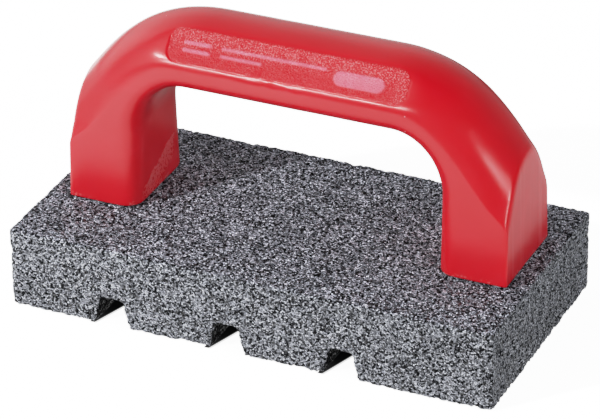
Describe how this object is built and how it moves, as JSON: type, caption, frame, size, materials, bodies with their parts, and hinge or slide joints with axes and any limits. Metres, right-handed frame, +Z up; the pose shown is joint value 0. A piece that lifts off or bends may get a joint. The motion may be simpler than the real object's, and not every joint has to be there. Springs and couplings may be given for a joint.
{
  "type": "fluted abrasive rubbing brick with handle",
  "caption": "Coarse fluted abrasive block with a moulded plastic arched handle screwed to its back, for rubbing down concrete and masonry by hand.",
  "frame": {"origin": "centre of the brick's working face, which is the underside of the whole object", "axes": "+X along the brick's length, towards the wider plain land; -Y towards the side of the grip that carries the recessed panel; +Z up, from the working face to the grip"},
  "size_m": [0.1524, 0.0762, 0.086],
  "materials": {
    "grit": "coarse vitrified silicon-carbide grain, dark grey with glinting crystals",
    "red_plastic": "glossy moulded plastic with faint flow marks; fine grain on the recessed panel",
    "brass": "turned and knurled",
    "zinc_steel": "zinc plated",
    "spring_steel": "dark spring steel, lightly oiled"
  },
  "bodies": {
    "root": {"abrasive_brick": "grit", "handle": "red_plastic", "threaded_insert_left": "brass", "threaded_insert_right": "brass", "clamp_screw_left": "zinc_steel", "clamp_screw_right": "zinc_steel", "flat_washer_left": "zinc_steel", "flat_washer_right": "zinc_steel", "lock_washer_left": "spring_steel", "lock_washer_right": "spring_steel"}
  },
  "joints": []
}
